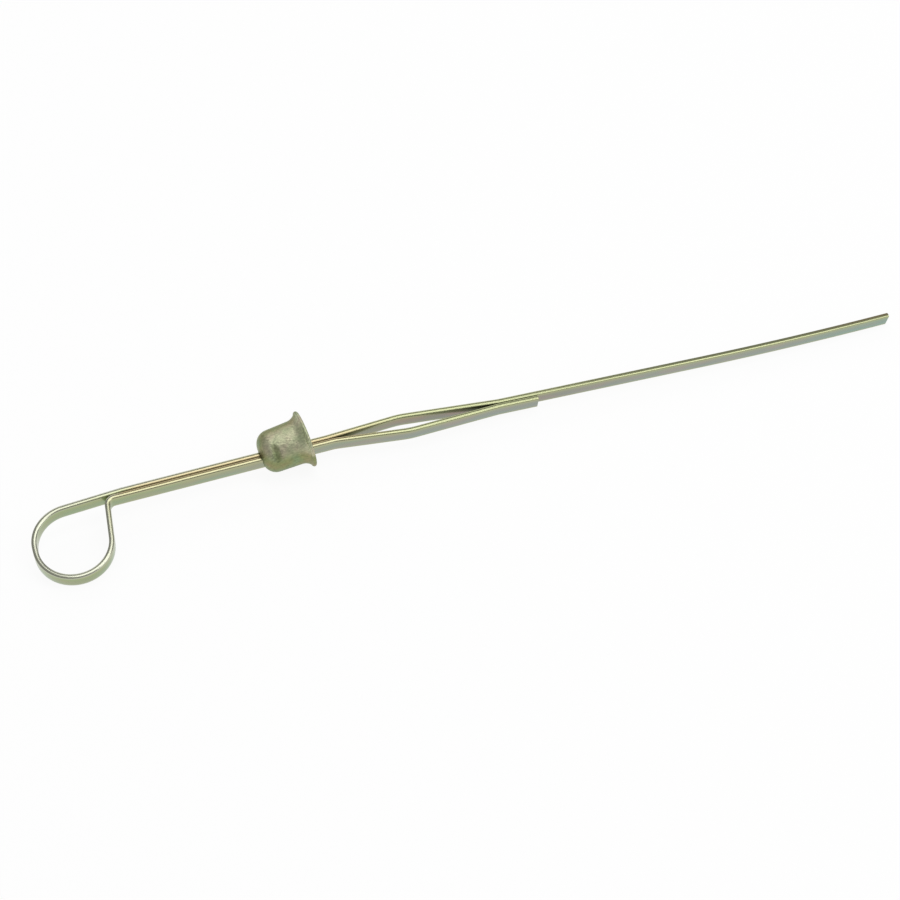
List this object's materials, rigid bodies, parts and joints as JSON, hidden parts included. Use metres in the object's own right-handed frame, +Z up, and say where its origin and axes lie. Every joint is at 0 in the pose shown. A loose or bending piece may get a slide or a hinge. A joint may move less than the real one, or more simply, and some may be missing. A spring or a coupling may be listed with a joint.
{
  "type": "engine oil dipstick",
  "caption": "Flat steel strip folded into a finger loop, doubled handle, spring bow and long blade, with a pressed bell cap that closes the dipstick tube.",
  "frame": {"origin": "centre of the bell cap's mouth, where the dipstick tube's end goes in", "axes": "+X along the strip towards the blade's tip, +Z up from the table it rests on, the finger loop towards -Y"},
  "size_m": [0.3001, 0.0365, 0.0189],
  "materials": {
    "strip_zinc": "yellow-passivated zinc on steel strip, satin",
    "cap_zinc": "yellow-passivated zinc on pressed sheet steel, satin"
  },
  "bodies": {
    "root": {"dipstick_strip": "strip_zinc", "bell_cap": "cap_zinc"}
  },
  "joints": []
}
